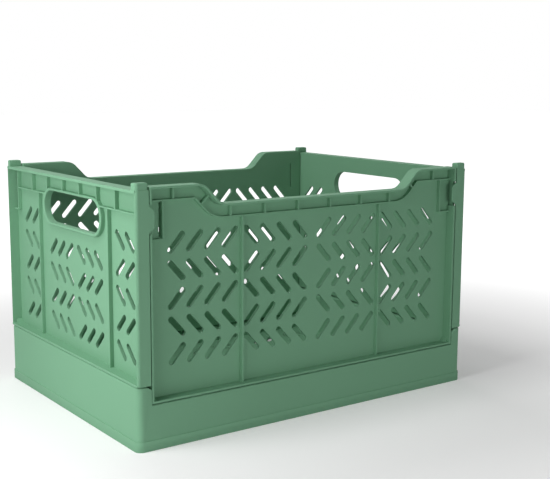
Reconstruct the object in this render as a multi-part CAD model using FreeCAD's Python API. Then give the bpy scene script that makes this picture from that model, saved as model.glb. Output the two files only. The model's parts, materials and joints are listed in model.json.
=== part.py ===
import FreeCAD, Part
import math
import os

# A collapsible storage crate: a tray, two end walls with hand holes and two long walls with
# a lowered middle, each wall hinged on its own level so that they fold flat on one another.
# +X runs along the long walls, +Y along the end walls, +Z up; the origin is at the middle
# of the tray on the ground. A wall is drawn as the front one stands: outside at -Y, u = +X
# to the right as seen from outside, v = depth from the outer face inwards.

V = FreeCAD.Vector

# ---------------------------------------------------------------- driving dimensions, mm

crate_length = 340.0            # over the foot ring
crate_width = 247.0             # over the foot ring
rail_height = 200.0             # top of the long walls' rails above the ground
end_rail_drop = 2.0             # end walls' rails and posts lie this much lower
foot_proud = 0.8                # foot ring beyond the tray's sides
foot_height = 8.0

# tray
end_rim_height = 50.0
rim_step = 14.5                 # each next hinge level lies this much lower
rim_edge_gap = 0.4              # rim is this much deeper than the wall that stands on it
rim_outer_round = 1.2
tray_corner_radius = 5.0
skirt_thickness = 2.2
inner_skin_thickness = 2.0
rim_top_thickness = 2.5
floor_top = 5.5
floor_thickness = 2.4
floor_rib_thickness = 2.0
floor_rib_clearance = 0.8       # ribs under the floor stay off the ground by this
floor_cells_long = 7
floor_cells_wide = 4
beam_rib_thickness = 2.0
beam_cell_length = 30.0         # longest hollow between two ribs in a side beam

# walls
wall_depth = 11.5
panel_thickness = 2.4
flange_thickness = 1.8
rail_thickness = 2.3
post_edge_radius = 3.0
wall_gap = 0.6                  # parting gap between a rim and the wall above it
wall_end_gap = 0.4              # long wall to corner block
rib_height = 3.4                # raised ribs over the panel
stem_rib_width = 1.6            # upright ribs from rail band to bottom flange
line_rib_width = 1.3            # thin ribs that close the band and the pockets
band_rib_width = 1.6
corner_gusset = 4.0             # small slant in the lower corners of each recess
gusset_height = 5.0             # of the slant over the panel

# slanted slots
slot_width = 5.0
slot_run = 10.4                 # between the centres of the slot's two ends
end_slot_rise = 10.4
long_slot_rise = 11.6
slot_end_sides = 3              # flats round each end
end_column_pitch = 15.7
floor_slot_pitch = 15.8
long_column_pitch = 16.15
slot_row_pitch = 21.7
slot_top_row = 156.0            # height of the highest row above the ground
slot_rows = 5

# end wall
end_band = 18.2                 # rail top to the line under the ribbed band
end_band_rib_pitch = 31.7
end_band_ribs = 6
end_stem_offset = 66.0          # stem rib from the middle
end_middle_column = 11.4        # first column from the middle
end_middle_columns = 3
end_side_column = 80.7
end_side_columns = 2
grip_drop = 28.7                # hand hole's middle below the end rail's top
grip_half_length = 52.8
grip_height = 27.4
grip_rim_end = 3.4              # raised rim at the round ends
grip_rim_side = 2.2             # raised rim along the straight sides
grip_rim_height = 3.8           # raised rim over the panel
nub_height = 5.4
nub_length = 7.0
nub_inset = 0.5
latch_pocket_width = 8.3
latch_pocket_height = 38.0
latch_slot_width = 2.6
tab_reach = 4.8
tab_bottom = 166.1
tab_height = 19.8
tab_slant = 3.4                 # height of the slant at each end of the tab

# long wall
s_start = 115.2                 # from the middle to where the top edge starts to drop
s_drop = 16.4
s_radius = 12.5
s_angle = 46.0
long_band = 11.7                # rail top to the line under the ribbed band
long_band_ribs = (16.6, 49.9, 82.2, 133.8)
long_slope_rib = 101.4
long_stem_offset = 71.0
long_middle_column = 12.5
long_middle_columns = 4
long_side_column = 81.3
long_side_columns = 4
window_length = 13.5            # recess for the tab at each end of a long wall
window_bottom = 160.3
window_slot_width = 2.2
window_margin = 1.2             # opening in the flange beyond the tab, above and below

# hinges
axis_drop = 8.0                 # hinge axis under the rim's top
pin_radius = 2.3
pin_clearance = 0.06
ear_radius = 3.9
ear_thickness = 1.8
pocket_width = 19.0
pocket_side_gap = 0.8
pocket_end_gap = 0.4
pocket_depth_below_axis = 7.0
clip_width = 10.5
clip_wall = 1.5
clip_mouth_angle = 76.0
clip_foot_thickness = 2.0
clip_foot_gap = 0.3
end_hinge_inset = 41.1          # hinge's middle from the crate's side
long_hinge_inset = 55.0

# drawing
overcut = 1.0                   # a cutter runs past the face that it opens by this
tiny = 1e-6                     # two places nearer than this are one

# ---------------------------------------------------------------- derived sizes

body_half_length = crate_length / 2 - foot_proud
body_half_width = crate_width / 2 - foot_proud
rim_depth = wall_depth + rim_edge_gap
front_rim_height = end_rim_height - rim_step
back_rim_height = front_rim_height - rim_step
inner_half_length = body_half_length - rim_depth
inner_half_width = body_half_width - rim_depth
axis_depth = wall_depth / 2
recess_depth = wall_depth - panel_thickness
rib_face = recess_depth - rib_height
floor_bottom = floor_top - floor_thickness
long_half_length = inner_half_length - wall_end_gap
wall_foot = axis_drop + wall_gap                # wall's bottom edge above its hinge axis
end_rail_height = rail_height - end_rail_drop
grip_middle = end_rail_height - grip_drop
tab_top = tab_bottom + tab_height
end_hinge_offset = crate_width / 2 - end_hinge_inset
long_hinge_offset = crate_length / 2 - long_hinge_inset


# ---------------------------------------------------------------- small helpers

def block(x0, x1, y0, y1, z0, z1):
    """Box between two corners."""
    return Part.makeBox(x1 - x0, y1 - y0, z1 - z0, V(x0, y0, z0))


def joined(shapes):
    """One solid from touching shapes."""
    whole = shapes[0].multiFuse(shapes[1:]) if len(shapes) > 1 else shapes[0]
    return whole.removeSplitter()


def without(shape, tools):
    """The shape with every tool cut away."""
    return shape.cut(Part.makeCompound(tools))


def upright_prism(outline, v0, v1):
    """A closed outline of (u, z) points pushed from depth v0 to v1."""
    points = [V(u, v0, z) for u, z in outline]
    return Part.Face(Part.makePolygon(points + points[:1])).extrude(V(0, v1 - v0, 0))


def stadium(u, z, half_length, radius, v0, v1):
    """A level bar with round ends, half_length over all."""
    reach = half_length - radius
    top_left = V(u - reach, v0, z + radius)
    top_right = V(u + reach, v0, z + radius)
    low_left = V(u - reach, v0, z - radius)
    low_right = V(u + reach, v0, z - radius)
    edges = [
        Part.LineSegment(top_left, top_right).toShape(),
        Part.Arc(top_right, V(u + half_length, v0, z), low_right).toShape(),
        Part.LineSegment(low_right, low_left).toShape(),
        Part.Arc(low_left, V(u - half_length, v0, z), top_left).toShape(),
    ]
    return Part.Face(Part.Wire(edges)).extrude(V(0, v1 - v0, 0))


def slot_outline(u, z, rise, lean):
    """Slanted slot: lean +1 runs up to the right, -1 up to the left."""
    slope = math.atan2(rise, lean * slot_run)
    radius = slot_width / 2
    points = []
    for end in (1, -1):
        centre_u = u + end * lean * slot_run / 2
        centre_z = z + end * rise / 2
        facing = slope if end == 1 else slope + math.pi
        for k in range(slot_end_sides + 1):
            turn = facing - math.pi / 2 + math.pi * k / slot_end_sides
            points.append((centre_u + radius * math.cos(turn), centre_z + radius * math.sin(turn)))
    return points


def slot_rows_of(columns, rows, rise, first_lean):
    """Slot cutters of one group: the lean turns over from row to row."""
    cutters = []
    for row in rows:
        lean = first_lean if row % 2 == 0 else -first_lean
        height = slot_top_row - row * slot_row_pitch
        for column in columns:
            outline = slot_outline(column, height, rise, lean)
            cutters.append(upright_prism(outline, recess_depth - overcut, wall_depth + overcut))
    return cutters


def mirrored_group(first_column, pitch, count, rows, rise, lean_right):
    """The same group left and right of the middle, leaning opposite ways."""
    right = [first_column + k * pitch for k in range(count)]
    left = [-column for column in right]
    return slot_rows_of(right, rows, rise, lean_right) + slot_rows_of(left, rows, rise, -lean_right)


def corner_gussets(half, foot):
    """Small slants that fill the two lower corners of a recess."""
    face = recess_depth - gusset_height
    made = []
    for side in (-1, 1):
        u = side * (half - flange_thickness / 2)
        z = foot + flange_thickness / 2
        leg = corner_gusset + flange_thickness / 2
        made.append(upright_prism([(u, z), (u - side * leg, z), (u, z + leg)], face, recess_depth))
    return made


def hinge_knuckle(u, axis_height, foot_height_above_axis):
    """Two ears under the wall with the pin between them."""
    outer = pocket_width / 2 - pocket_side_gap
    pieces = []
    for side in (-1, 1):
        u0, u1 = sorted((u + side * outer, u + side * (outer - ear_thickness)))
        tip = Part.makeCylinder(ear_radius, u1 - u0, V(u0, axis_depth, axis_height), V(1, 0, 0))
        shank = block(u0, u1, axis_depth - ear_radius, axis_depth + ear_radius,
                      axis_height, axis_height + foot_height_above_axis + flange_thickness / 2)
        pieces += [tip, shank]
    reach = outer - ear_thickness / 2
    pieces.append(Part.makeCylinder(pin_radius, 2 * reach, V(u - reach, axis_depth, axis_height), V(1, 0, 0)))
    return pieces


# ---------------------------------------------------------------- end wall

def end_wall():
    """Recessed panel in a full-depth frame, with hand hole, ribbed band, latch pockets and nubs."""
    half = body_half_width
    axis_height = end_rim_height - axis_drop
    foot = axis_height + wall_foot
    frame = block(-half, half, 0, wall_depth, foot, end_rail_height)
    posts = [e for e in frame.Edges
             if abs(abs(e.CenterOfMass.x) - half) < tiny and e.CenterOfMass.y < tiny
             and abs(e.CenterOfMass.z - (foot + end_rail_height) / 2) < tiny]
    frame = frame.makeFillet(post_edge_radius, posts)
    recess = block(-half + flange_thickness, half - flange_thickness, -overcut, recess_depth,
                   foot + flange_thickness, end_rail_height - rail_thickness)
    wall = frame.cut(recess)

    band_line = end_rail_height - end_band
    inner = half - flange_thickness
    pocket_u = inner - latch_pocket_width
    pocket_z = end_rail_height - latch_pocket_height
    ribs = [block(-pocket_u, pocket_u, rib_face, recess_depth, band_line - line_rib_width, band_line)]
    for k in range(end_band_ribs):
        u = (k - (end_band_ribs - 1) / 2) * end_band_rib_pitch
        ribs.append(block(u - band_rib_width / 2, u + band_rib_width / 2, rib_face, recess_depth,
                          band_line - line_rib_width / 2, end_rail_height - rail_thickness / 2))
    for side in (-1, 1):
        u = side * end_stem_offset
        ribs.append(block(u - stem_rib_width / 2, u + stem_rib_width / 2, rib_face, recess_depth,
                          foot + flange_thickness / 2, band_line - line_rib_width / 2))
        u0, u1 = sorted((side * pocket_u, side * (pocket_u - line_rib_width)))
        ribs.append(block(u0, u1, rib_face, recess_depth, pocket_z, end_rail_height - rail_thickness / 2))
        u0, u1 = sorted((side * (pocket_u - line_rib_width), side * (inner + flange_thickness / 2)))
        ribs.append(block(u0, u1, rib_face, recess_depth, pocket_z - line_rib_width, pocket_z))
    rim = stadium(0, grip_middle, grip_half_length + grip_rim_end, grip_height / 2 + grip_rim_side,
                  recess_depth - grip_rim_height, recess_depth)
    nubs = []
    tabs = []
    for side in (-1, 1):
        u0, u1 = sorted((side * (half - nub_inset), side * (half - nub_length)))
        nub = block(u0, u1, nub_inset, wall_depth, end_rail_height - rail_thickness / 2,
                    end_rail_height + nub_height)
        corner = [e for e in nub.Edges
                  if abs(abs(e.CenterOfMass.x) - (half - nub_inset)) < tiny
                  and abs(e.CenterOfMass.y - nub_inset) < tiny]
        nubs.append(nub.makeFillet(post_edge_radius - nub_inset, corner))
        tab = [(recess_depth, tab_bottom), (wall_depth, tab_bottom),
               (wall_depth + tab_reach, tab_bottom + tab_slant),
               (wall_depth + tab_reach, tab_top - tab_slant),
               (wall_depth, tab_top), (recess_depth, tab_top)]
        tab = [V(side * half, v, z) for v, z in tab]
        tabs.append(Part.Face(Part.makePolygon(tab + tab[:1])).extrude(V(-side * flange_thickness, 0, 0)))
    knuckles = []
    for side in (-1, 1):
        knuckles += hinge_knuckle(side * end_hinge_offset, axis_height, wall_foot)
    wall = joined([wall, rim] + ribs + nubs + tabs + knuckles + corner_gussets(half, foot))

    cutters = mirrored_group(end_middle_column, end_column_pitch, end_middle_columns,
                             range(1, slot_rows), end_slot_rise, 1)
    cutters += mirrored_group(end_side_column, end_column_pitch, end_side_columns,
                              range(slot_rows), end_slot_rise, -1)
    cutters.append(stadium(0, grip_middle, grip_half_length, grip_height / 2,
                           -overcut, wall_depth + overcut))
    for side in (-1, 1):
        u0, u1 = sorted((side * inner, side * (inner - latch_slot_width)))
        cutters.append(block(u0, u1, recess_depth - overcut, wall_depth + overcut,
                             pocket_z + line_rib_width, end_rail_height - rail_thickness - line_rib_width))
    return without(wall, cutters)


# ---------------------------------------------------------------- long wall

def long_wall_outline(foot, inset):
    """Edge of a long wall with its lowered middle, drawn inset from the true edge."""
    half = long_half_length - inset
    top = rail_height - inset
    angle = math.radians(s_angle)
    straight = (s_drop - 2 * s_radius * (1 - math.cos(angle))) / math.sin(angle)
    outer_radius = s_radius - inset
    inner_radius = s_radius + inset
    start = V(-s_start, 0, rail_height - s_radius)
    sin_a, cos_a = math.sin(angle), math.cos(angle)
    p1 = V(-s_start, 0, top)
    p2 = start + V(outer_radius * sin_a, 0, outer_radius * cos_a)
    m1 = start + V(outer_radius * math.sin(angle / 2), 0, outer_radius * math.cos(angle / 2))
    p3 = p2 + V(straight * cos_a, 0, -straight * sin_a)
    end_u = -s_start + 2 * s_radius * sin_a + straight * cos_a
    end = V(end_u, 0, rail_height - s_drop + s_radius)
    m2 = end - V(inner_radius * math.sin(angle / 2), 0, inner_radius * math.cos(angle / 2))
    p4 = V(end_u, 0, rail_height - s_drop - inset)
    low_left = V(-half, 0, foot + inset)
    high_left = V(-half, 0, top)

    def flip(p):
        return V(-p.x, 0, p.z)

    edges = [
        Part.LineSegment(low_left, high_left).toShape(),
        Part.LineSegment(high_left, p1).toShape(),
        Part.Arc(p1, m1, p2).toShape(),
        Part.LineSegment(p2, p3).toShape(),
        Part.Arc(p3, m2, p4).toShape(),
        Part.LineSegment(p4, flip(p4)).toShape(),
        Part.Arc(flip(p4), flip(m2), flip(p3)).toShape(),
        Part.LineSegment(flip(p3), flip(p2)).toShape(),
        Part.Arc(flip(p2), flip(m1), flip(p1)).toShape(),
        Part.LineSegment(flip(p1), flip(high_left)).toShape(),
        Part.LineSegment(flip(high_left), flip(low_left)).toShape(),
        Part.LineSegment(flip(low_left), low_left).toShape(),
    ]
    return Part.Face(Part.Wire(edges))


def long_wall_slab(foot, inset, v0, v1):
    """The wall's outline, inset, pushed from depth v0 to v1."""
    face = long_wall_outline(foot, inset)
    face.translate(V(0, v0, 0))
    return face.extrude(V(0, v1 - v0, 0))


def long_wall(rim_height):
    """Recessed panel whose top edge drops to a lower middle, with a band that follows it."""
    axis_height = rim_height - axis_drop
    foot = axis_height + wall_foot
    half = long_half_length
    wall = long_wall_slab(foot, 0, 0, wall_depth)
    wall = wall.cut(long_wall_slab(foot, flange_thickness, -overcut, recess_depth))

    low_top = rail_height - s_drop
    band_z = rail_height - long_band
    line = long_wall_slab(foot, long_band - line_rib_width, rib_face, recess_depth)
    line = line.cut(long_wall_slab(foot, long_band, rib_face - overcut, recess_depth + overcut))
    zone = block(-half + long_band, half - long_band, rib_face, recess_depth,
                 low_top - long_band - line_rib_width, rail_height)
    ribs = [line.common(zone)]
    window_u = half - window_length
    for side in (-1, 1):
        u0, u1 = sorted((side * (half - long_band - overcut), side * (half - flange_thickness / 2)))
        ribs.append(block(u0, u1, rib_face, recess_depth, band_z, band_z + line_rib_width))
        for u in long_band_ribs:
            top = rail_height if u > s_start else low_top
            ribs.append(block(side * u - band_rib_width / 2, side * u + band_rib_width / 2, rib_face,
                              recess_depth, top - long_band + line_rib_width / 2,
                              top - flange_thickness / 2))
        slope = block(-band_rib_width / 2, band_rib_width / 2, rib_face, recess_depth,
                      -long_band + line_rib_width / 2, -flange_thickness / 2)
        angle = math.radians(s_angle)
        bend = s_radius * math.tan(angle / 2)
        fall = (long_slope_rib - s_start + bend) * math.tan(angle)
        slope.rotate(V(0, 0, 0), V(0, 1, 0), side * s_angle)
        slope.translate(V(side * long_slope_rib, 0, rail_height + fall))
        ribs.append(slope)
        u = side * long_stem_offset
        ribs.append(block(u - stem_rib_width / 2, u + stem_rib_width / 2, rib_face, recess_depth,
                          foot + flange_thickness / 2, low_top - long_band + line_rib_width / 2))
        u0, u1 = sorted((side * window_u, side * (window_u - line_rib_width)))
        ribs.append(block(u0, u1, rib_face, recess_depth, window_bottom, band_z + line_rib_width / 2))
        u0, u1 = sorted((side * (window_u - line_rib_width), side * (half - flange_thickness / 2)))
        ribs.append(block(u0, u1, rib_face, recess_depth, window_bottom - line_rib_width, window_bottom))
    ribs += corner_gussets(half, foot)
    knuckles = []
    for u in (-long_hinge_offset, 0, long_hinge_offset):
        knuckles += hinge_knuckle(u, axis_height, wall_foot)
    wall = joined([wall] + ribs + knuckles)

    rows = range(slot_rows)
    cutters = mirrored_group(long_middle_column, long_column_pitch, long_middle_columns,
                             rows, long_slot_rise, 1)
    cutters += mirrored_group(long_side_column, long_column_pitch, long_side_columns,
                              rows, long_slot_rise, -1)
    for side in (-1, 1):
        u0, u1 = sorted((side * window_u, side * (window_u + window_slot_width)))
        cutters.append(block(u0, u1, recess_depth - overcut, wall_depth + overcut,
                             window_bottom + line_rib_width, band_z - line_rib_width))
        u0, u1 = sorted((side * (half - flange_thickness), side * (half + overcut)))
        cutters.append(block(u0, u1, -overcut, recess_depth,
                             tab_bottom - window_margin, tab_top + window_margin))
    return without(wall, cutters)


# ---------------------------------------------------------------- hinge clip

def hinge_clip(axis_height):
    """Snap clip in a rim pocket: an open ring for the pin on a stem and a foot."""
    bore = pin_radius + pin_clearance
    ring_radius = bore + clip_wall
    u0 = -clip_width / 2
    ring = Part.makeCylinder(ring_radius, clip_width, V(u0, axis_depth, axis_height), V(1, 0, 0))
    stem = block(u0, -u0, axis_depth - ring_radius, axis_depth + ring_radius,
                 axis_height - pocket_depth_below_axis, axis_height)
    foot_half = pocket_width / 2 - clip_foot_gap
    foot = block(-foot_half, foot_half, axis_depth - ear_radius - pocket_end_gap + clip_foot_gap,
                 axis_depth + ring_radius,
                 axis_height - pocket_depth_below_axis,
                 axis_height - pocket_depth_below_axis + clip_foot_thickness)
    body = joined([ring, stem, foot])
    cut_length = clip_width + 2 * overcut
    hole = Part.makeCylinder(bore, cut_length, V(u0 - overcut, axis_depth, axis_height), V(1, 0, 0))
    half_mouth = math.radians(clip_mouth_angle / 2)
    reach = 2 * ring_radius
    mouth = [V(u0 - overcut, axis_depth + v, axis_height + z) for v, z in (
        (0, 0),
        (-reach * math.sin(half_mouth), reach * math.cos(half_mouth)),
        (reach * math.sin(half_mouth), reach * math.cos(half_mouth)))]
    mouth = Part.Face(Part.makePolygon(mouth + mouth[:1])).extrude(V(cut_length, 0, 0))
    return without(body, [hole, mouth])


# ---------------------------------------------------------------- tray

def rounded_plate(half_x, half_y, radius, z0, z1):
    """Upright prism with round corners, centred on the origin."""
    plate = block(-half_x, half_x, -half_y, half_y, z0, z1)
    corners = [e for e in plate.Edges
               if abs(abs(e.CenterOfMass.x) - half_x) < tiny and abs(abs(e.CenterOfMass.y) - half_y) < tiny]
    return plate.makeFillet(radius, corners)


def outer_round_tool(u0, u1, height):
    """What the rounded outer edge of a rim loses, for a rim along u."""
    radius = rim_outer_round
    corner = block(u0, u1, -overcut, radius, height - radius, height + overcut)
    return corner.cut(Part.makeCylinder(radius, u1 - u0, V(u0, radius, height - radius), V(1, 0, 0)))


def crest_tool(u0, u1, axis_height):
    """What a rim loses inboard of its hinge axis, to leave a crest that the wall's foot can turn round."""
    corner = block(u0, u1, axis_depth, rim_depth + overcut,
                   axis_height, axis_height + axis_drop + overcut)
    return corner.cut(Part.makeCylinder(axis_drop, u1 - u0, V(u0, axis_depth, axis_height), V(1, 0, 0)))


def side_tools(side_half, rim_height, hinge_places, cell_limit):
    """Cutters of one side beam, drawn as the front one: rounding, pockets and hollows."""
    axis_height = rim_height - axis_drop
    tools = [crest_tool(-side_half, side_half, axis_height)]
    pocket_outer = axis_depth - ear_radius - pocket_end_gap
    for place in hinge_places:
        tools.append(block(place - pocket_width / 2, place + pocket_width / 2, pocket_outer,
                           rim_depth + overcut, axis_height - pocket_depth_below_axis,
                           rim_height + overcut))
    solid_half = pocket_width / 2 + beam_rib_thickness
    edges = [-cell_limit]
    for place in sorted(hinge_places):
        edges += [place - solid_half, place + solid_half]
    edges.append(cell_limit)
    cell_top = rim_height - rim_top_thickness
    for start, stop in zip(edges[0::2], edges[1::2]):
        span = stop - start
        count = max(1, math.ceil(span / (beam_cell_length + beam_rib_thickness)))
        step = (span + beam_rib_thickness) / count
        for k in range(count):
            u0 = start + k * step
            tools.append(block(u0, u0 + step - beam_rib_thickness, skirt_thickness,
                               rim_depth - inner_skin_thickness, -overcut, cell_top))
    for place in hinge_places:
        tools.append(block(place - pocket_width / 2, place + pocket_width / 2, skirt_thickness,
                           rim_depth - inner_skin_thickness, -overcut,
                           axis_height - pocket_depth_below_axis - rim_top_thickness))
    return tools


def base_tray():
    """Tray with hollow side beams on three heights, hinge pockets and a slotted, ribbed floor."""
    body = rounded_plate(body_half_length, body_half_width, tray_corner_radius, 0, end_rim_height)
    top_edges = [e for e in body.Edges if e.BoundBox.ZMin > end_rim_height - tiny]
    body = body.makeFillet(rim_outer_round, top_edges)
    ring = rounded_plate(crate_length / 2, crate_width / 2, tray_corner_radius + foot_proud, 0, foot_height)
    tray = joined([body, ring])

    far = crate_width
    cavity = block(-inner_half_length, inner_half_length, -inner_half_width, inner_half_width,
                   floor_top, end_rim_height + overcut)
    front_low = block(-inner_half_length, inner_half_length, -far, -inner_half_width + overcut,
                      front_rim_height, end_rim_height + overcut)
    back_low = block(-inner_half_length, inner_half_length, inner_half_width - overcut, far,
                     back_rim_height, end_rim_height + overcut)
    tray = without(tray, [cavity, front_low, back_low])

    tools = []
    sides = [
        (body_half_width, inner_half_length, front_rim_height, (-long_hinge_offset, 0, long_hinge_offset), 0),
        (body_half_width, inner_half_length, back_rim_height, (-long_hinge_offset, 0, long_hinge_offset), 180),
        (body_half_length, body_half_width, end_rim_height, (-end_hinge_offset, end_hinge_offset), -90),
        (body_half_length, body_half_width, end_rim_height, (-end_hinge_offset, end_hinge_offset), 90),
    ]
    for reach, side_half, rim_height, places, turn in sides:
        limit = (inner_half_length if turn in (0, 180) else body_half_width - tray_corner_radius)
        limit -= beam_rib_thickness
        for tool in side_tools(side_half, rim_height, places, limit):
            tool.translate(V(0, -reach, 0))
            tool.rotate(V(0, 0, 0), V(0, 0, 1), turn)
            tools.append(tool)
    for rim_height, side in ((front_rim_height, -1), (back_rim_height, 1)):
        tool = outer_round_tool(-inner_half_length, inner_half_length, rim_height)
        tool.translate(V(0, -body_half_width, 0))
        if side == 1:
            tool.rotate(V(0, 0, 0), V(0, 0, 1), 180)
        tools.append(tool)

    # hollows under the floor leave a grid of ribs; each carries a slanted pair of slots
    cell_x = (2 * inner_half_length - (floor_cells_long + 1) * floor_rib_thickness) / floor_cells_long
    cell_y = (2 * inner_half_width - (floor_cells_wide + 1) * floor_rib_thickness) / floor_cells_wide
    tools.append(block(-inner_half_length, inner_half_length, -inner_half_width, inner_half_width,
                       -overcut, floor_rib_clearance))
    for column in range(floor_cells_long):
        x0 = -inner_half_length + floor_rib_thickness + column * (cell_x + floor_rib_thickness)
        for row in range(floor_cells_wide):
            y0 = -inner_half_width + floor_rib_thickness + row * (cell_y + floor_rib_thickness)
            tools.append(block(x0, x0 + cell_x, y0, y0 + cell_y, -overcut, floor_bottom))
            lean = 1 if (column + row) % 2 == 0 else -1
            for side in (-1, 1):
                outline = slot_outline(x0 + cell_x / 2 + side * floor_slot_pitch / 2, y0 + cell_y / 2,
                                       end_slot_rise, lean)
                points = [V(x, y, floor_bottom - overcut) for x, y in outline]
                face = Part.Face(Part.makePolygon(points + points[:1]))
                tools.append(face.extrude(V(0, 0, floor_thickness + 2 * overcut)))
    return without(tray, tools)


# ---------------------------------------------------------------- placing and writing

def placed(shape, reach, turn):
    """From the drawing place to the side of the crate that turn gives."""
    copy = shape.copy()
    copy.translate(V(0, -reach, 0))
    copy.rotate(V(0, 0, 0), V(0, 0, 1), turn)
    return copy


def save(name, shape):
    """One closed, valid node."""
    print(name, "solids", len(shape.Solids), "valid", shape.isValid(), "volume", round(shape.Volume))
    shape.exportStep("parts/" + name + ".step")


save("base_tray", base_tray())

drawn_end_wall = end_wall()
save("end_wall_left", placed(drawn_end_wall, body_half_length, -90))
save("end_wall_right", placed(drawn_end_wall, body_half_length, 90))
save("long_wall_front", placed(long_wall(front_rim_height), body_half_width, 0))
save("long_wall_back", placed(long_wall(back_rim_height), body_half_width, 180))

clip_sides = [
    ("end_left", end_rim_height, body_half_length, -90, {"front": end_hinge_offset, "back": -end_hinge_offset}),
    ("end_right", end_rim_height, body_half_length, 90, {"front": -end_hinge_offset, "back": end_hinge_offset}),
    ("front", front_rim_height, body_half_width, 0,
     {"left": -long_hinge_offset, "middle": 0, "right": long_hinge_offset}),
    ("back", back_rim_height, body_half_width, 180,
     {"left": long_hinge_offset, "middle": 0, "right": -long_hinge_offset}),
]
for side_name, rim_height, reach, turn, places in clip_sides:
    clip = hinge_clip(rim_height - axis_drop)
    for place_name, place in places.items():
        moved = clip.copy()
        moved.translate(V(place, 0, 0))
        save("hinge_clip_" + side_name + "_" + place_name, placed(moved, reach, turn))
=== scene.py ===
# %% [markdown]
# # A collapsible storage crate
# The crate is a tray with four walls hinged on it, all moulded in one green plastic. The two long
# walls fold inwards first, one after the other, then the two end walls on top of them: their hinges
# sit on rims of three heights. This lesson dresses the crate's engineering model: it loads the
# model, moulds every wall again with the soft edges that a mould leaves, and photographs it in a
# white studio.
#
# Everything on a wall is drawn flat, in millimetres, as if the wall lay on a drawing board: x runs
# along the wall, y is the height above the ground and z comes out of the board, towards somebody
# outside the crate. The wall's outer face is at z = 0 and its inner face at z = -wall_depth.

# %% Load the engineering model
import bmesh
import bpy
import json
import math
from mathutils import Matrix, Vector


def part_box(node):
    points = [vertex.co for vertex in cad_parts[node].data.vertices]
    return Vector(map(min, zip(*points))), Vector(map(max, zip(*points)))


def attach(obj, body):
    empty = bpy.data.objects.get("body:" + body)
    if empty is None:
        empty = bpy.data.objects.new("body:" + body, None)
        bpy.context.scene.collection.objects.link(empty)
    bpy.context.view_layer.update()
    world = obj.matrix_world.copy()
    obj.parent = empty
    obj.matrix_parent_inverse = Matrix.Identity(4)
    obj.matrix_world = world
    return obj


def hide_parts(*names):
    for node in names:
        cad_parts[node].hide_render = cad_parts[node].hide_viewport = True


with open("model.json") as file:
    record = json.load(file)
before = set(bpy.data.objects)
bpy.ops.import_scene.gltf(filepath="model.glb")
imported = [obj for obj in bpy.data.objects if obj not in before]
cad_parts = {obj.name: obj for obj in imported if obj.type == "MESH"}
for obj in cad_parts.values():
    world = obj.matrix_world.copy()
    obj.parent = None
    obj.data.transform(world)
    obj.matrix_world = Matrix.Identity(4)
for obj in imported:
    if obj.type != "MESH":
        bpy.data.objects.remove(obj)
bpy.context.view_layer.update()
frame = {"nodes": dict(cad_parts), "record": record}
MM = 0.001

# %% [markdown]
# ## Nodes as arithmetic
# Both the finishes and the repeated shapes are node trees. Written as node after node they are hard
# to read, so one small class lets a socket take part in ordinary Python arithmetic, and one method
# makes any other node from its settings and the values or links of its sockets.


# %% A socket that can be added and multiplied
class Maths:
    """A socket of a node tree; arithmetic on it adds Math nodes to the tree."""

    def __init__(self, tree, socket):
        self.tree, self.socket = tree, socket

    def node(self, kind, settings=None, output=0, **sockets):
        """Any node: settings first, then its sockets, by name or as _0, _1; gives one output."""
        made = self.tree.nodes.new(kind)
        for name, value in (settings or {}).items():
            setattr(made, name, value)
        for name, value in sockets.items():
            number = name[1:]
            place = made.inputs[int(number) if number.isdigit() else name.replace("_", " ")]
            for item in value if isinstance(value, list) else [value]:
                if isinstance(item, Maths):
                    self.tree.links.new(item.socket, place)
                else:
                    place.default_value = item
        return Maths(self.tree, made.outputs[output])

    def do(self, operation, *values):
        """One of the Math node's operations."""
        return self.node("ShaderNodeMath", {"operation": operation},
                         **{"_" + str(k): value for k, value in enumerate(values)})

    def __add__(self, other):
        return self.do("ADD", self, other)

    def __radd__(self, other):
        return self.do("ADD", other, self)

    def __sub__(self, other):
        return self.do("SUBTRACT", self, other)

    def __rsub__(self, other):
        return self.do("SUBTRACT", other, self)

    def __mul__(self, other):
        return self.do("MULTIPLY", self, other)

    def __rmul__(self, other):
        return self.do("MULTIPLY", other, self)

    def __truediv__(self, other):
        return self.do("DIVIDE", self, other)


# %% [markdown]
# ## The plastic
# The crate is polypropylene with the pigment in it, so its colour is nearly even: it only clouds
# a little where the melt flowed. The mould's spark-eroded skin makes it semi-matte, with a grain
# finer than a millimetre, and large flat faces stay very slightly wavy because the plastic shrinks.
# Colour, roughness and bump each read noise on Object coordinates, which stay put when it folds.

# %% Moulded plastic
def linear(colour):
    """From the colour as a screen shows it to the shader's linear numbers."""
    return tuple(((c / 255 + 0.055) / 1.055) ** 2.4 for c in colour) + (1.0,)


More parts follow.
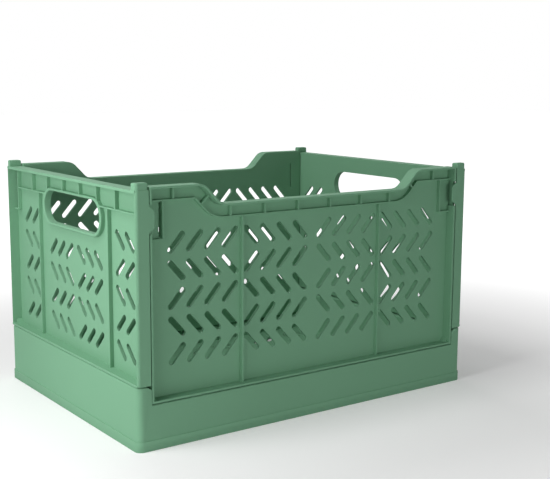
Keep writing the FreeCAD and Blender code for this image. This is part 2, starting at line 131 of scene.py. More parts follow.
def moulded_plastic(name, colour, clouds):
    """A material whose colour goes up and down by the clouds, in levels of 255."""
    material = bpy.data.materials.new(name)
    material.use_nodes = True
    tree = material.node_tree
    shader = tree.nodes["Principled BSDF"]
    here = Maths(tree, tree.nodes.new("ShaderNodeTexCoord").outputs["Object"])
    flow = here.node("ShaderNodeTexNoise", Vector=here, Scale=14.0, Detail=3.0, Roughness=0.55)
    grain = here.node("ShaderNodeTexNoise", Vector=here, Scale=1900.0, Detail=2.0, Roughness=0.6)
    skin = here.node("ShaderNodeTexNoise", Vector=here, Scale=55.0, Detail=4.0, Roughness=0.6)
    light, dark = linear([c + clouds for c in colour]), linear([c - clouds for c in colour])
    # a Mix node's colours are its inputs 6 and 7, and the mixed colour is its output 2
    tint = here.node("ShaderNodeMix", {"data_type": "RGBA"}, output=2,
                     _0=flow * 0.7 + grain * 0.3, _6=dark, _7=light)
    roughness = 0.50 + skin * 0.10 + grain * 0.06
    ripple = here.node("ShaderNodeBump", Strength=0.25, Distance=0.0006, Height=flow)
    bump = here.node("ShaderNodeBump", Strength=0.10, Distance=0.0002, Height=grain, Normal=ripple)
    tree.links.new(tint.socket, shader.inputs["Base Color"])
    tree.links.new(roughness.socket, shader.inputs["Roughness"])
    tree.links.new(bump.socket, shader.inputs["Normal"])
    shader.inputs["IOR"].default_value = 1.49
    shader.inputs["Specular IOR Level"].default_value = 0.12
    return material


GREEN = (119, 167, 135)         # as a screen shows it
CLOUDS = 3
wall_plastic = moulded_plastic("wall_plastic", GREEN, CLOUDS)
tray_plastic = moulded_plastic("tray_plastic", GREEN, CLOUDS)
clip_plastic = moulded_plastic("clip_plastic", GREEN, CLOUDS)
print("plastic:", GREEN, "nodes:", len(wall_plastic.node_tree.nodes))

# %% [markdown]
# ## Sizes
# What the model already fixes is read from it: how long the walls are, how far they stand from
# the middle, and the long walls' height. The rest are the walls' own small sizes, in millimetres.

# %% Sizes from the model
end_low, end_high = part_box("end_wall_left")
long_low, long_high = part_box("long_wall_front")
end_half = end_high[1] / MM     # half an end wall's length
end_reach = -end_low[0] / MM    # from the middle of the crate to its outer face
long_half = long_high[0] / MM   # half a long wall's length
long_reach = -long_low[1] / MM
long_top = long_high[2] / MM    # height of its top edge, at its ends
print("end wall, mm:", round(2 * end_half, 1), "long wall, mm:", round(2 * long_half, 1))

# %% Sizes shared by all walls
wall_depth = 11.5
panel_thickness = 2.4           # the panel is the wall's inner face
recess_depth = wall_depth - panel_thickness
flange_thickness = 1.8          # the flange runs round the panel
rail_thickness = 2.3            # an end wall's top flange
post_edge_radius = 3.0
rib_height = 3.4                # how far ribs stand out of the panel
rib_sink = 0.6                  # and how far they go into it
rib_soft = 0.35                 # rounding of their edges, at most
rib_soft_share = 0.3            # and at most this share of a rib's width
stem_rib_width = 1.6            # upright, from the foot to the band
line_rib_width = 1.3            # under the band and round the latches
band_rib_width = 1.6            # across the band
axis_drop = 8.0                 # from the tray's rim down to the hinge axis
axis_depth = wall_depth / 2
foot_gap = 0.6                  # between the rim and a wall's foot
foot_above_axis = axis_drop + foot_gap
overlap = 1.0                   # pieces that join reach this far into each other
seam = 0.03                     # faces that would coincide are set apart by this
edge_round = 0.45               # rounding of the long walls' flanges
slot_lip = 0.5                  # rounding of the edges of slots
slot_width = 5.0
slot_run = 10.4                 # how far a slot goes along the wall, between the middles of its ends
slot_row_pitch = 21.7
slot_top_row = 156.0
print("recess, mm:", round(recess_depth, 1), "foot above the hinge axis, mm:", foot_above_axis)

# %% [markdown]
# ## From the drawing board to the crate
# A drawn mesh is stood up, pushed out to its side of the crate and turned round the upright axis,
# all in one matrix that is applied to the mesh. The finished object keeps its origin at the
# crate's own origin, so that it folds with its body like the solids that it stands for.

# %% Standing a wall up
WALLS = {                       # distance from the middle, and turn in degrees
    "end_wall_left": (end_reach, -90),
    "end_wall_right": (end_reach, 90),
    "long_wall_front": (long_reach, 0),
    "long_wall_back": (long_reach, 180),
}
bodies = frame["record"]["behaviour"]["bodies"]
body_of = {node: body for body, nodes in bodies.items() for node in nodes}


def stood_up(wall):
    """The matrix from the drawing board to a wall's place on the crate."""
    reach, turn = WALLS[wall]
    lift = Matrix.Rotation(math.radians(90), 4, "X")
    out = Matrix.Translation((0, -reach * MM, 0))
    return Matrix.Rotation(math.radians(turn), 4, "Z") @ out @ lift @ Matrix.Scale(MM, 4)


sharp_from = math.radians(38)   # bends are shaded smooth up to this angle


def finished(name, node, meshes, matrix):
    """One piece of a wall from several meshes: placed, shaded with soft edges, riding on its body."""
    shape = bmesh.new()
    for mesh in meshes:
        shape.from_mesh(mesh)
    bmesh.ops.transform(shape, matrix=matrix, verts=shape.verts)
    mesh = bpy.data.meshes.new(name)
    shape.to_mesh(mesh)
    shape.free()
    mesh.shade_smooth()
    mesh.set_sharp_from_angle(angle=sharp_from)
    mesh.materials.append(wall_plastic)
    for polygon in mesh.polygons:
        polygon.material_index = 0      # the node trees leave their material in a second slot
    piece = bpy.data.objects.new(name, mesh)
    bpy.context.scene.collection.objects.link(piece)
    weights = piece.modifiers.new("flat faces stay flat", "WEIGHTED_NORMAL")
    weights.keep_sharp = True
    weights.weight = 100
    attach(piece, body_of[node])
    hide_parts(node)
    print(name, len(mesh.polygons), "faces")


# %% [markdown]
# ## Plates
# Flanges, posts, rings, tabs and ears are all flat outlines with some thickness and soft edges. A
# filled 2D curve makes such a plate at once: its extrude is the thickness, its bevel the
# rounding, and its offset pulls the outline in by as much as the bevel swells it, so that the
# plate keeps its size. Inner outlines run the other way round and become holes.

# %% Outlines
def arc(x, y, radius, start, stop, steps):
    """Points on an arc round (x, y), angles in degrees."""
    turns = [math.radians(start + (stop - start) * k / steps) for k in range(steps + 1)]
    return [(x + radius * math.cos(t), y + radius * math.sin(t)) for t in turns]


def stadium(x, y, half_length, radius, steps=16):
    """A level bar with round ends, x and y its middle."""
    reach = half_length - radius
    return arc(x + reach, y, radius, -90, 90, steps) + arc(x - reach, y, radius, 90, 270, steps)


def rectangle(x0, x1, y0, y1):
    return [(x0, y0), (x1, y0), (x1, y1), (x0, y1)]


def area_of(loop):
    """Signed area: positive when the outline runs anticlockwise."""
    return sum(a[0] * b[1] - b[0] * a[1] for a, b in zip(loop, loop[1:] + loop[:1])) / 2


# %% A plate with soft edges
same_point = 0.001              # points nearer than this are merged to one


def plate(outer, low, high, rounding, holes=(), matrix=Matrix.Identity(4)):
    """The outline between z = low and z = high of its own plane, then put in place by the matrix."""
    drawing = bpy.data.curves.new("plate", "CURVE")
    drawing.dimensions = "2D"
    drawing.fill_mode = "BOTH"
    drawing.extrude = (high - low) / 2 - rounding
    drawing.bevel_depth = rounding
    drawing.bevel_resolution = 2
    drawing.offset = -rounding
    for loop, side in [(outer, 1)] + [(hole, -1) for hole in holes]:
        points = loop if area_of(loop) * side < 0 else loop[::-1]
        spline = drawing.splines.new("POLY")
        spline.points.add(len(points) - 1)
        for point, (x, y) in zip(spline.points, points):
            point.co = (x, y, 0, 1)
        spline.use_cyclic_u = True
    stand_in = bpy.data.objects.new("plate", drawing)
    mesh = bpy.data.meshes.new_from_object(stand_in)
    bpy.data.objects.remove(stand_in)
    mesh.transform(matrix @ Matrix.Translation((0, 0, (low + high) / 2)))
    shape = bmesh.new()
    shape.from_mesh(mesh)
    bmesh.ops.remove_doubles(shape, verts=shape.verts, dist=same_point)
    bmesh.ops.recalc_face_normals(shape, faces=shape.faces)
    shape.to_mesh(mesh)
    shape.free()
    return mesh


ACROSS = Matrix.Rotation(math.radians(90), 4, "Y")      # outline in (depth, height), along the wall
UPRIGHT = Matrix.Rotation(math.radians(-90), 4, "X")    # outline in (along, depth), pushed upwards

# a trial: the plate has to come out 20 long, with its hole's ends 4 from the middle
trial = plate(rectangle(-10, 10, -5, 5), 0, 4, 0.5, [stadium(0, 0, 4, 2)])
xs = [v.co.x for v in trial.vertices]
on_middle_line = [abs(v.co.x) for v in trial.vertices if abs(v.co.y) < same_point]
print("trial plate, x:", round(min(xs), 2), round(max(xs), 2), "hole:", round(min(on_middle_line), 2))

# %% [markdown]
# ## Geometry Nodes
# The herringbone of slots and the ribs repeat by a rule, so node trees make them: one places the
# slots, one fills a panel round them and one makes ribs. A tree is started with named inputs, and
# one that makes a piece ends in Realize Instances and Set Material. It is run on a base mesh, and
# the mesh that comes out is kept.

# %% Starting, ending and running a tree
def started_tree(name, geometry=True, **inputs):
    """An empty tree with named inputs, given as name = socket type, with underscores for spaces."""
    tree = bpy.data.node_groups.new(name, "GeometryNodeTree")
    tree.interface.new_socket("Geometry", in_out="OUTPUT", socket_type="NodeSocketGeometry")
    if geometry:
        tree.interface.new_socket("Geometry", in_out="INPUT", socket_type="NodeSocketGeometry")
    for title, kind in inputs.items():
        tree.interface.new_socket(
            title.replace("_", " "), in_out="INPUT", socket_type="NodeSocket" + kind)
    given = tree.nodes.new("NodeGroupInput")
    return tree, {socket.name: Maths(tree, socket) for socket in given.outputs if socket.name}


def ended_tree(tree, result):
    """Links the result to the tree's output."""
    tree.links.new(result.socket, tree.nodes.new("NodeGroupOutput").inputs[0])
    print("tree", tree.name, "with", len(tree.nodes), "nodes")


def ended_piece(tree, geometry, material):
    """The closing nodes of a tree that makes a piece: real faces, all of one material."""
    whole = geometry.node("GeometryNodeRealizeInstances", Geometry=geometry)
    ended_tree(tree, whole.node("GeometryNodeSetMaterial", Geometry=whole, Material=material))


lip_from = math.radians(50)     # edges from this angle on are rounded


def grown(tree, base, rounding=0.0, **values):
    """The plain mesh that a tree makes from a base mesh, its sharp edges rounded if asked."""
    maker = bpy.data.objects.new("maker", base)
    bpy.context.scene.collection.objects.link(maker)
    growth = maker.modifiers.new("growth", "NODES")
    growth.node_group = tree
    places = {item.name: item.identifier for item in tree.interface.items_tree}
    for title, value in values.items():
        growth[places[title.replace("_", " ")]] = value
    if rounding:
        lips = maker.modifiers.new("lips", "BEVEL")
        lips.width = rounding
        lips.segments = 3
        lips.limit_method = "ANGLE"
        lips.angle_limit = lip_from
    depsgraph = bpy.context.evaluated_depsgraph_get()
    mesh = bpy.data.meshes.new_from_object(maker.evaluated_get(depsgraph))
    bpy.data.objects.remove(maker)
    return mesh


# %% [markdown]
# ### Herringbone
# Each slot is a slanted bar with round ends. A group of slots has columns and rows at even
# distances; from row to row the slant turns over, and the left half of a wall mirrors the right.
# The tree places one slot curve on a grid of points and works the slant out from each point's
# place. Around it, the wall's outline and the slots are filled to a flat face with holes, which
# is given the panel's thickness. The slot's edges are rounded afterwards by a Bevel modifier.

# %% The herringbone tree
GROUP = {"First_column": "Float", "Column_pitch": "Float", "Columns": "Int", "Top_row": "Float",
         "Row_pitch": "Float", "Rows": "Int", "Lean": "Float"}
SLOT = {"Slot_width": "Float", "Run": "Float", "Rise": "Float"}
herringbone, at = started_tree("herringbone", False, **GROUP, **SLOT)
start = at["Run"]
wide = (at["Columns"] - 1) * at["Column pitch"]
tall = (at["Rows"] - 1) * at["Row pitch"]
grid = start.node("GeometryNodeMeshGrid", Size_X=wide, Size_Y=tall,
                  Vertices_X=at["Columns"], Vertices_Y=at["Rows"])
middle = start.node("ShaderNodeCombineXYZ", X=at["First column"] + wide / 2, Y=at["Top row"] - tall / 2)
right = start.node("GeometryNodeTransform", Geometry=grid, Translation=middle)
left = start.node("GeometryNodeTransform", Geometry=right, Scale=(-1, 1, 1))
points = start.node("GeometryNodeJoinGeometry", Geometry=[right, left])
place = start.node("GeometryNodeInputPosition")
across = start.node("ShaderNodeSeparateXYZ", output=0, Vector=place)
height = start.node("ShaderNodeSeparateXYZ", output=1, Vector=place)
row = start.do("ROUND", (at["Top row"] - height) / at["Row pitch"])
turn_over = 1 - 2 * start.do("FLOORED_MODULO", row, 2.0)
slant = start.do("ARCTAN2", at["Rise"], at["Run"]) * at["Lean"] * turn_over * start.do("SIGN", across)
length = start.do("SQRT", at["Run"] * at["Run"] + at["Rise"] * at["Rise"]) + at["Slot width"]
bar = start.node("GeometryNodeCurvePrimitiveQuadrilateral", Width=length, Height=at["Slot width"])
end_radius = at["Slot width"] * 0.4999      # just under half, so that no two corners meet
slot = start.node("GeometryNodeFilletCurve", {"mode": "POLY"}, Curve=bar, Radius=end_radius, Count=7)
turned = start.node("ShaderNodeCombineXYZ", Z=slant)
placed = start.node("GeometryNodeInstanceOnPoints", Points=points, Instance=slot, Rotation=turned)
ended_tree(herringbone, start.node("GeometryNodeRealizeInstances", Geometry=placed))

# %% The slotted panel tree
both_groups = {prefix + title: kind for prefix in ("Middle_", "Side_") for title, kind in GROUP.items()}
slotted_panel, at = started_tree("slotted_panel", True, Material="Material", Inner_face="Float",
                                 Thickness="Float", **SLOT, **both_groups)
start = at["Run"]
outline = start.node("GeometryNodeMeshToCurve", Mesh=at["Geometry"])
curves = [outline]
for prefix in ("Middle ", "Side "):
    sizes = {title: at[prefix + title.replace("_", " ")] for title in GROUP}
    sizes.update({title: at[title.replace("_", " ")] for title in SLOT})
    curves.append(start.node("GeometryNodeGroup", {"node_tree": herringbone}, **sizes))
drawn = start.node("GeometryNodeJoinGeometry", Geometry=curves)
face = start.node("GeometryNodeFillCurve", {"mode": "NGONS"}, Curve=drawn)
front = start.node("GeometryNodeExtrudeMesh", {"mode": "FACES"}, Mesh=face,
                   Offset_Scale=at["Thickness"], Individual=False)
back = start.node("GeometryNodeFlipFaces", Mesh=face)
both = start.node("GeometryNodeJoinGeometry", Geometry=[front, back])
shell = start.node("GeometryNodeMergeByDistance", Geometry=both, Distance=same_point)
depth = start.node("ShaderNodeCombineXYZ", Z=at["Inner face"])
deep = start.node("GeometryNodeTransform", Geometry=shell, Translation=depth)
ended_piece(slotted_panel, deep, at["Material"])


# %% Outlines as a base mesh
def wire(loops, z=0.0, closed=True):
    """Outlines or open paths as a mesh of edges at one depth."""
    vertices, edges = [], []
    for loop in loops:
        first = len(vertices)
        vertices += [(x, y, z) for x, y in loop]
        edges += [(first + k, first + k + 1) for k in range(len(loop) - 1)]
        if closed:
            edges.append((first + len(loop) - 1, first))
    mesh = bpy.data.meshes.new("wire")
    mesh.from_pydata(vertices, edges, [])
    return mesh


# %% A slotted panel
def group(first_column, column_pitch, columns, top_row, rows, lean):
    """The sizes of a group of slots on the right half of a wall; the left half mirrors it."""
    return {"First_column": first_column, "Column_pitch": column_pitch, "Columns": columns,
            "Top_row": top_row, "Row_pitch": slot_row_pitch, "Rows": rows, "Lean": lean}


def panel(outlines, slot_rise, middle, side):
    """A wall's panel from its outlines and its two groups of slots."""
    groups = {prefix + title: value for prefix, sizes in (("Middle_", middle), ("Side_", side))
              for title, value in sizes.items()}
    return grown(slotted_panel, wire(outlines), slot_lip, Material=wall_plastic, Inner_face=-wall_depth,
                 Thickness=panel_thickness, Slot_width=slot_width, Run=slot_run, Rise=slot_rise, **groups)


# %% [markdown]
# ### Ribs
# Every rib is a straight or bent line on the panel with the same kind of section: a bar with a
# softened top. One tree turns a wire of lines into bars. Paths keep their sideways direction
# level with the board, so that the section never twists.

# %% The rib tree
rib_tree, at = started_tree("ribs_on_lines", True, Material="Material", Width="Float",
                            Height="Float", Soft="Float")
start = at["Width"]
lines = start.node("GeometryNodeMeshToCurve", Mesh=at["Geometry"])
level = start.node("GeometryNodeSetCurveNormal", {"mode": "Z_UP"}, Curve=lines)
section = start.node("GeometryNodeCurvePrimitiveQuadrilateral", Width=at["Width"], Height=at["Height"])
soft = start.node("GeometryNodeFilletCurve", {"mode": "POLY"}, Curve=section, Radius=at["Soft"], Count=2)
bars = start.node("GeometryNodeCurveToMesh", Curve=level, Profile_Curve=soft, Fill_Caps=True)
ended_piece(rib_tree, bars, at["Material"])


def ribs(paths, width):
    """Bars of one width along open paths, standing on the panel."""
    foot_depth = recess_depth + rib_sink
    top_depth = recess_depth - rib_height
    base = wire(paths, -(foot_depth + top_depth) / 2, closed=False)
    return grown(rib_tree, base, Material=wall_plastic, Width=width, Height=foot_depth - top_depth,
                 Soft=min(rib_soft, width * rib_soft_share))


# %% [markdown]
# ## Hinge lugs and gussets
# Under each wall hang pairs of ears with a pin between them. The pin snaps into a clip in the
# rim's pocket, so the wall can be pulled off for washing. A small gusset stiffens each lower
# corner of a wall's frame. All of these are plates, turned to lie across the wall or along it.

# %% A pair of ears and their pin
pin_radius = 2.3
pin_round = 0.1
ear_radius = 3.9
ear_thickness = 1.8
ear_round = 0.3
pocket_length = 19.0            # of the pocket in the tray's rim
pocket_gap = 0.8                # between an ear and the pocket's end
lug_half = pocket_length / 2 - pocket_gap


def hinge_lugs(places, axis_height):
    """Ears and pins at the given places along a wall, as outlines seen from the wall's end."""
    made = []
    top = axis_height + foot_above_axis + overlap
    ear = arc(-axis_depth, axis_height, ear_radius, 180, 360, 14)
    ear += [(-axis_depth + ear_radius, top), (-axis_depth - ear_radius, top)]
    ear = [(-x, y) for x, y in ear]
    pin = [(-x, y) for x, y in arc(-axis_depth, axis_height, pin_radius, 0, 345, 23)]   # 24 points
    for place in places:
        for way in (-1, 1):
            low, high = sorted((place + way * lug_half, place + way * (lug_half - ear_thickness)))
            made.append(plate(ear, low, high, ear_round, matrix=ACROSS))
        low, high = place - lug_half + overlap, place + lug_half - overlap
        made.append(plate(pin, low, high, pin_round, matrix=ACROSS))
    return made


# %% A corner's gusset
gusset_size = 5.0
gusset_height = 5.0             # out of the panel
gusset_sink = 0.5               # into the panel
gusset_round = 0.3


def gusset(side, half, foot):
    """The small triangle in the lower corner of a wall's frame, on the side -1 or 1."""
    near, far = overlap, overlap + gusset_size
    outline = [(side * (half - x), foot + y) for x, y in ((near, near), (far, near), (near, far))]
    return plate(outline, -recess_depth - gusset_sink, -recess_depth + gusset_height, gusset_round)


# %% [markdown]
# ## End walls
# An end wall is a panel at the back of a deep frame. Its two posts are the crate's corners,
# rounded outside; a ribbed band runs under the rail round a hand hole with a thick rolled rim;
# and in each top corner is a pocket for the latch, with a tab that reaches over the long wall.

# %% End wall sizes
end_top = 198.0
end_axis = 42.0                 # height of the hinge axis
end_foot = end_axis + foot_above_axis
end_hinges = (-82.4, 82.4)
end_band = 18.2                 # from the top edge down to the line under the band
end_band_ribs = 6
end_band_rib_pitch = 31.7
end_stem_offset = 66.0
end_slot_rise = 10.4
end_middle_slots = group(first_column=11.4, column_pitch=15.7, columns=3,
                         top_row=slot_top_row - slot_row_pitch, rows=4, lean=-1.0)
end_side_slots = group(first_column=80.7, column_pitch=15.7, columns=2,
                       top_row=slot_top_row, rows=5, lean=-1.0)
post_round = 0.6
foot_flange_round = 0.7
rail_round = 0.8

# %% Hand hole
grip_below_top = 28.7           # from the top edge down to the hole's middle
grip_middle = end_top - grip_below_top
grip_half_length = 52.8
grip_height = 27.4
grip_rim_end = 3.4              # the rim's width at the hole's ends
grip_rim_side = 2.2             # and above and below it
grip_rim_height = 3.8
grip_rim_round = 0.9
rim_radius = grip_height / 2 + grip_rim_side
rim_turn = grip_half_length + grip_rim_end - rim_radius     # where the rim starts to bend round
rim_overlap = 0.5               # ribs that end at the rim reach this far into it

# %% Latches and nubs
latch_pocket_width = 8.3
latch_pocket_height = 38.0
latch_slot_width = 2.6
tab_reach = 4.8
tab_bottom = 166.1
tab_length = 19.8
tab_top = tab_bottom + tab_length
tab_slant = 3.4
tab_round = 0.35
nub_height = 5.4
nub_length = 7.0
nub_inset = 0.5
nub_outer_radius = 2.5          # of its upright edge at the crate's corner
nub_inner_radius = 0.8          # and of the one inside
nub_round = 1.1
print("hand hole, mm:", 2 * grip_half_length, "x", grip_height, "tab, mm:", tab_length)


# %% The end wall's frame
def end_frame():
    """The posts, and the flanges at the foot and the top."""
    made = []
    # the post's rounded edge ends where its inner face cuts it, after this many degrees
    turn_in = math.degrees(math.acos((post_edge_radius - flange_thickness) / post_edge_radius))
    for side in (-1, 1):
        section = [(end_half - flange_thickness, -wall_depth + seam), (end_half, -wall_depth + seam)]
        section += arc(end_half - post_edge_radius, -post_edge_radius, post_edge_radius, 0, turn_in, 6)
        section = [(side * x, -y) for x, y in section]
        made.append(plate(section, end_foot, end_top, post_round, matrix=UPRIGHT))
    for low, high, rounding in ((end_foot + seam, end_foot + flange_thickness, foot_flange_round),
                                (end_top - rail_thickness, end_top - seam, rail_round)):
        section = rectangle(0, recess_depth + overlap, low, high)
        made.append(plate(section, -end_half + overlap, end_half - overlap, rounding, matrix=ACROSS))
    return made


# %% The end wall's ribs
def end_ribs(pocket_x, pocket_y, inner):
    """The line under the band, ribs across it, the stems, and the latch pockets' borders."""
    line_y = end_top - end_band - line_rib_width / 2
    line_start = rim_turn + math.sqrt(rim_radius ** 2 - (line_y - grip_middle) ** 2) - rim_overlap
    border_x = pocket_x - line_rib_width / 2
    border_y = pocket_y - line_rib_width / 2
    lines, borders, stems = [], [], []
    for side in (-1, 1):
        lines.append([(side * line_start, line_y), (side * pocket_x, line_y)])
        borders.append([(side * border_x, pocket_y - line_rib_width), (side * border_x, end_top - overlap)])
        borders.append([(side * border_x, border_y), (side * (inner + overlap), border_y)])
        stems.append([(side * end_stem_offset, end_foot + overlap), (side * end_stem_offset, line_y)])
    cross = []
    for x in [(k - (end_band_ribs - 1) / 2) * end_band_rib_pitch for k in range(end_band_ribs)]:
        beyond = min(max(abs(x) - rim_turn, 0), rim_radius)
        on_rim = grip_middle + math.sqrt(rim_radius ** 2 - beyond ** 2) - rim_overlap
        cross.append([(x, max(line_y, on_rim)), (x, end_top - overlap)])
    return [ribs(lines + borders, line_rib_width), ribs(cross, band_rib_width), ribs(stems, stem_rib_width)]


# %% The end wall's corners
def end_corner(side):
    """A nub that the next crate sits on, a latch tab and a gusset."""
    outer, inner = nub_inset + nub_outer_radius, nub_inset + nub_inner_radius
    nub = arc(end_half - inner, -wall_depth + inner, nub_inner_radius, -90, 0, 3)
    nub += arc(end_half - outer, -outer, nub_outer_radius, 0, 90, 5)
    nub += [(end_half - nub_length, -nub_inset), (end_half - nub_length, -wall_depth + nub_inset)]
    nub = [(side * x, -y) for x, y in nub]
    tab = [(recess_depth, tab_bottom), (wall_depth, tab_bottom),
           (wall_depth + tab_reach, tab_bottom + tab_slant), (wall_depth + tab_reach, tab_top - tab_slant),
           (wall_depth, tab_top), (recess_depth, tab_top)]
    low, high = sorted((side * (end_half - seam), side * (end_half - flange_thickness)))
    return [plate(nub, end_top - nub_round, end_top + nub_height, nub_round, matrix=UPRIGHT),
            plate(tab, low, high, tab_round, matrix=ACROSS),
            gusset(side, end_half, end_foot)]


# %% End wall
def end_wall(node):
    """The six pieces that stand for one end wall."""
    place = stood_up(node)
    inner = end_half - flange_thickness
    pocket_x = inner - latch_pocket_width
    pocket_y = end_top - latch_pocket_height

    edge = rectangle(-end_half + seam, end_half - seam, end_foot + 2 * seam, end_top - 2 * seam)
    grip = stadium(0, grip_middle, grip_half_length, grip_height / 2)
    latches = [rectangle(*sorted((side * inner, side * (inner - latch_slot_width))),
                         pocket_y + line_rib_width, end_top - rail_thickness - line_rib_width)
               for side in (-1, 1)]
    slotted = panel([edge, grip] + latches, end_slot_rise, end_middle_slots, end_side_slots)
    finished(node + "_panel", node, [slotted], place)
    finished(node + "_frame", node, end_frame(), place)
    finished(node + "_ribs", node, end_ribs(pocket_x, pocket_y, inner), place)

    rim = stadium(0, grip_middle, grip_half_length + grip_rim_end, rim_radius, 24)
    hole = stadium(0, grip_middle, grip_half_length - seam, grip_height / 2 - seam, 24)
    ring = plate(rim, -wall_depth + seam, -recess_depth + grip_rim_height, grip_rim_round, [hole])
    finished(node + "_grip_rim", node, [ring], place)
    finished(node + "_tabs_and_nubs", node, end_corner(-1) + end_corner(1), place)
    finished(node + "_hinge_lugs", node, hinge_lugs(end_hinges, end_axis), place)


for node in ("end_wall_left", "end_wall_right"):
    end_wall(node)

# %% [markdown]
# ## Long walls
# A long wall's top edge drops in two S-curves to a lower middle, where a hand can reach in. The
# flange, and the line under the ribbed band, follow that edge at an even distance, so one
# function draws the edge at any inset: an outward bend gets tighter and an inward one wider.

# %% Long wall sizes
long_axes = {"long_wall_front": 27.5, "long_wall_back": 13.0}   # heights of the hinge axes
long_hinges = (-115.0, 0.0, 115.0)
s_start = 115.2                 # where the top edge starts to drop
s_drop = 16.4
s_radius = 12.5
s_angle = 46.0
low_top = long_top - s_drop
long_band = 11.7
long_band_ribs = (16.6, 49.9, 82.2, 133.8)
long_slope_rib = 101.4          # x of the rib that stands square to the slope, at the edge
long_stem_offset = 71.0
stem_overlap = 0.6              # the stems reach this far into the line under the band
long_slot_rise = 11.6
long_middle_slots = group(first_column=12.5, column_pitch=16.15, columns=4,
                          top_row=slot_top_row, rows=5, lean=1.0)
long_side_slots = group(first_column=81.3, column_pitch=16.15, columns=4,
                        top_row=slot_top_row, rows=5, lean=-1.0)
window_length = 13.5            # of the window for an end wall's tab
window_bottom = 160.3
window_slot_width = 1.6         # narrower than the solid's slot, so that its lips meet it
window_margin = 1.2


# %% The edge with its S-curves
def top_edge(inset, end):
    """The top edge from left to right, moved inwards by the inset, out to x = end on both sides."""
    angle = math.radians(s_angle)
    straight = (s_drop - 2 * s_radius * (1 - math.cos(angle))) / math.sin(angle)
    foot_x = s_start - 2 * s_radius * math.sin(angle) - straight * math.cos(angle)
    low_centre = low_top + s_radius
    half = [(-end, long_top - inset)]
    half += arc(-s_start, long_top - s_radius, s_radius - inset, 90, 90 - s_angle, 9)
    half += arc(-foot_x, low_centre, s_radius + inset, 270 - s_angle, 270, 12)
    return half + [(-x, y) for x, y in reversed(half)]


print("lowered middle, mm:", round(low_top, 1), "points on the top edge:", len(top_edge(0, long_half)))


# %% The long wall's frame
def long_frame(foot):
    """One flange over the windows for the tabs, along the top edge, and one under them."""
    upper, lower = tab_top + window_margin, tab_bottom - window_margin
    inner_x = long_half - flange_thickness
    arch = [(-long_half, upper)] + top_edge(0, long_half) + [(long_half, upper), (inner_x, upper)]
    arch += top_edge(flange_thickness, inner_x)[::-1] + [(-inner_x, upper)]
    inner_foot = foot + flange_thickness
    trough = [(-long_half, lower), (-long_half, foot), (long_half, foot), (long_half, lower),
              (inner_x, lower), (inner_x, inner_foot), (-inner_x, inner_foot), (-inner_x, lower)]
    return [plate(loop, -wall_depth + edge_round, 0, edge_round) for loop in (arch, trough)]


# %% The long wall's ribs
def slope_rib(side):
    """The rib across the band on the slope, square to the edge."""
    angle = math.radians(s_angle)
    bend = s_radius * math.tan(angle / 2)
    fall = (long_slope_rib - s_start + bend) * math.tan(angle)
    square = Vector((-side * math.sin(angle), math.cos(angle)))
    at_edge = Vector((side * long_slope_rib, long_top + fall))
    return [tuple(at_edge - square * (long_band - line_rib_width / 2)), tuple(at_edge - square * overlap)]


def long_ribs(window_x, foot):
    """The line under the band, ribs across it, the stems, and the windows' borders."""
    reach = long_half - overlap
    line_y = -long_band + line_rib_width / 2        # from the edge down to the line
    border_x = window_x - line_rib_width / 2
    border_y = window_bottom - line_rib_width / 2
    line = [top_edge(-line_y, reach)]
    cross, stems = [], []
    for side in (-1, 1):
        line.append([(side * border_x, border_y), (side * border_x, long_top + line_y)])
        line.append([(side * border_x, border_y), (side * reach, border_y)])
        for x in long_band_ribs:
            top = long_top if x > s_start else low_top
            cross.append([(side * x, top + line_y), (side * x, top - overlap)])
        cross.append(slope_rib(side))
        stem_x = side * long_stem_offset
        stems.append([(stem_x, foot + overlap), (stem_x, low_top - long_band + stem_overlap)])
    return [ribs(line, line_rib_width), ribs(cross, band_rib_width), ribs(stems, stem_rib_width)]


# %% Long wall
def long_wall(node, axis_height):
    """The four pieces that stand for one long wall."""
    place = stood_up(node)
    foot = axis_height + foot_above_axis
    window_x = long_half - window_length

    edge = [(-long_half + seam, foot + seam)] + top_edge(seam, long_half - seam)
    edge.append((long_half - seam, foot + seam))
    windows = [rectangle(*sorted((side * window_x, side * (window_x + window_slot_width))),
                         window_bottom + line_rib_width, long_top - long_band - line_rib_width)
               for side in (-1, 1)]
    slotted = panel([edge] + windows, long_slot_rise, long_middle_slots, long_side_slots)
    finished(node + "_panel", node, [slotted], place)
    finished(node + "_frame", node, long_frame(foot), place)
    gussets = [gusset(side, long_half, foot) for side in (-1, 1)]
    finished(node + "_ribs", node, long_ribs(window_x, foot) + gussets, place)
    finished(node + "_hinge_lugs", node, hinge_lugs(long_hinges, axis_height), place)


for node, axis_height in long_axes.items():
    long_wall(node, axis_height)

# %% [markdown]
# ## Tray and clips
# The tray and the clips keep the solids' own shapes. A copy is made of each, its loose triangles
# are merged to faces, and a Bevel modifier gives every sharp edge a mould's small radius.

# %% Rounded mouldings
tray_radius = 0.35
clip_radius = 0.2
same_corner = 0.00002           # metres; the triangles' corners nearer than this are merged
flat_within = math.radians(0.5)
sharp_edge = math.radians(40)   # edges from this angle on get the radius


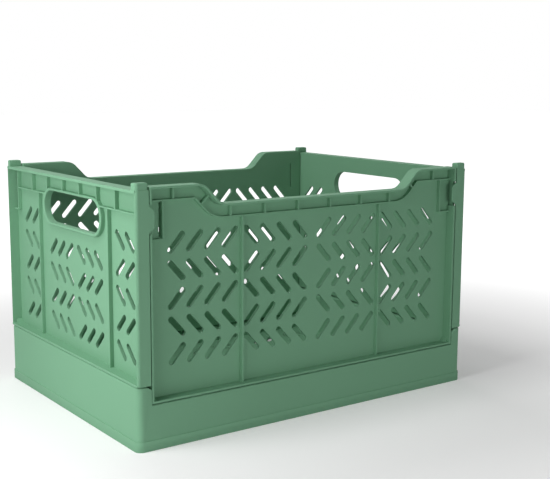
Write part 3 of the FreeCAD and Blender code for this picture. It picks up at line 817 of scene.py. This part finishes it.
def moulded(node, material, radius):
    """A copy of a node whose sharp edges have a mould's small radius, standing for it."""
    mesh = frame["nodes"][node].data.copy()
    piece = bpy.data.objects.new(node + "_moulding", mesh)
    bpy.context.scene.collection.objects.link(piece)
    shape = bmesh.new()
    shape.from_mesh(mesh)
    bmesh.ops.remove_doubles(shape, verts=shape.verts, dist=same_corner)
    bmesh.ops.dissolve_limit(shape, angle_limit=flat_within, verts=shape.verts, edges=shape.edges)
    shape.to_mesh(mesh)
    shape.free()
    bevel = piece.modifiers.new("edges", "BEVEL")
    bevel.width = radius * MM
    bevel.segments = 2
    bevel.limit_method = "ANGLE"
    bevel.angle_limit = sharp_edge
    bevel.harden_normals = True
    mesh.shade_smooth()
    mesh.materials.clear()
    mesh.materials.append(material)
    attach(piece, body_of[node])
    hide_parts(node)
    print(piece.name, len(mesh.polygons), "faces")


moulded("base_tray", tray_plastic, tray_radius)
for node in frame["nodes"]:
    if "hinge_clip" in node:
        moulded(node, clip_plastic, clip_radius)

# %% [markdown]
# ## Studio
# The studio is white. Soft lamps stand above on the left and behind, so that the end wall and
# the rails are bright and the long wall lies in a gentle shade of its own. The lamp in front is
# low and flat: the front wall then keeps its light off the inside, which stays darker. The floor
# is a pale grey that takes the crate's shadow. Only for rays that come straight from the camera,
# or by way of a glossy surface, it also glows, little near the crate and fully further away, so
# that the picture's background is white and the crate gets no more light from it.

# %% Floor
floor_half = 6                  # metres
grey = 0.72
floor_mesh = bpy.data.meshes.new("floor")
floor_corners = [(-floor_half, -floor_half, 0), (floor_half, -floor_half, 0),
                 (floor_half, floor_half, 0), (-floor_half, floor_half, 0)]
floor_mesh.from_pydata(floor_corners, [], [(0, 1, 2, 3)])
floor = bpy.data.objects.new("floor", floor_mesh)
bpy.context.scene.collection.objects.link(floor)
floor_material = bpy.data.materials.new("floor_white")
floor_material.use_nodes = True
tree = floor_material.node_tree
white = tree.nodes["Principled BSDF"]
white.inputs["Base Color"].default_value = (grey, grey, grey, 1)
white.inputs["Roughness"].default_value = 0.9
white.inputs["Specular IOR Level"].default_value = 0.1
rays = tree.nodes.new("ShaderNodeLightPath")
seen = Maths(tree, rays.outputs["Is Camera Ray"]) + Maths(tree, rays.outputs["Is Glossy Ray"])
here = Maths(tree, tree.nodes.new("ShaderNodeTexCoord").outputs["Object"])
away = here.node("ShaderNodeVectorMath", {"operation": "LENGTH"}, output=1, _0=here)
glow = here.node("ShaderNodeMapRange", {"interpolation_type": "SMOOTHSTEP"}, Value=away,
                 From_Min=0.2, From_Max=0.85, To_Min=0.27, To_Max=1.0)
tree.links.new((glow * seen).socket, white.inputs["Emission Color"])
white.inputs["Emission Strength"].default_value = 1.0
floor_mesh.materials.append(floor_material)
print("floor, m:", 2 * floor_half, "nodes:", len(tree.nodes))

# %% World
world = bpy.data.worlds.new("studio")
bpy.context.scene.world = world
world.use_nodes = True
tree = world.node_tree
background = tree.nodes["Background"]
background.inputs["Color"].default_value = (1, 1, 1, 1)
rays = tree.nodes.new("ShaderNodeLightPath")
seen = Maths(tree, rays.outputs["Is Camera Ray"])
for name in ("Is Glossy Ray", "Is Transmission Ray"):
    seen = seen.do("MAXIMUM", seen, Maths(tree, rays.outputs[name]))
dim = 0.04                      # what the world adds to the lamps; where it is seen it is 1, white
tree.links.new((dim + seen * (1 - dim)).socket, background.inputs["Strength"])
print("world:", dim)


# %% Lamps
LAMPS = {                       # place in metres, width and height in metres, power in watts
    "above on the left": ((-0.7, 0, 1.3), (0.6, 0.6), 8.2),
    "from behind": ((0.1, 0.9, 1.1), (0.6, 0.6), 3.2),
    "in front": ((0.05, -1.4, 0.12), (0.7, 0.2), 4.0),
    "low on the left": ((-0.8, -0.5, 0.25), (0.3, 0.3), 0.8),
    "near corner": ((-0.5, -0.1, 0.25), (0.25, 0.25), 1.15),
    "from the right": ((1.3, -0.2, 0.8), (0.6, 0.6), 1.3),
}
lit_point = Vector((0, 0, 0.1))         # every lamp looks at the crate's middle


def soft_box(name, place, size, power):
    """A rectangular lamp that faces the lit point."""
    light = bpy.data.lights.new(name, "AREA")
    light.shape = "RECTANGLE"
    light.size, light.size_y = size
    light.energy = power
    lamp = bpy.data.objects.new(name, light)
    bpy.context.scene.collection.objects.link(lamp)
    lamp.location = place
    lamp.rotation_mode = "QUATERNION"
    lamp.rotation_quaternion = (Vector(place) - lit_point).to_track_quat("Z", "Y")


for name, (place, size, power) in LAMPS.items():
    soft_box(name, place, size, power)
print("lamps:", len(LAMPS), "watts:", round(sum(power for place, size, power in LAMPS.values()), 2))

# %% [markdown]
# ## Camera
# The camera looks at the near corner from the left, a little above the crate. Its place, its
# turns and its lens follow from the perspective of the rails, the corners and the slots.

# %% Camera
camera_place = Vector((-518.5, -780.4, 280.7)) * MM
heading, pitch, roll = math.radians(35.78), math.radians(9.043), math.radians(0.33)
lens = bpy.data.cameras.new("camera")
lens.sensor_width = 36
lens.lens = 67.5
camera = bpy.data.objects.new("camera", lens)
bpy.context.scene.collection.objects.link(camera)
turn = Matrix.Rotation(-heading, 4, "Z") @ Matrix.Rotation(math.pi / 2 - pitch, 4, "X")
camera.matrix_world = Matrix.Translation(camera_place) @ turn @ Matrix.Rotation(roll, 4, "Z")
bpy.context.scene.camera = camera
bpy.context.scene.view_settings.view_transform = "Standard"
print("camera, m:", [round(c, 3) for c in camera_place], "lens, mm:", lens.lens)
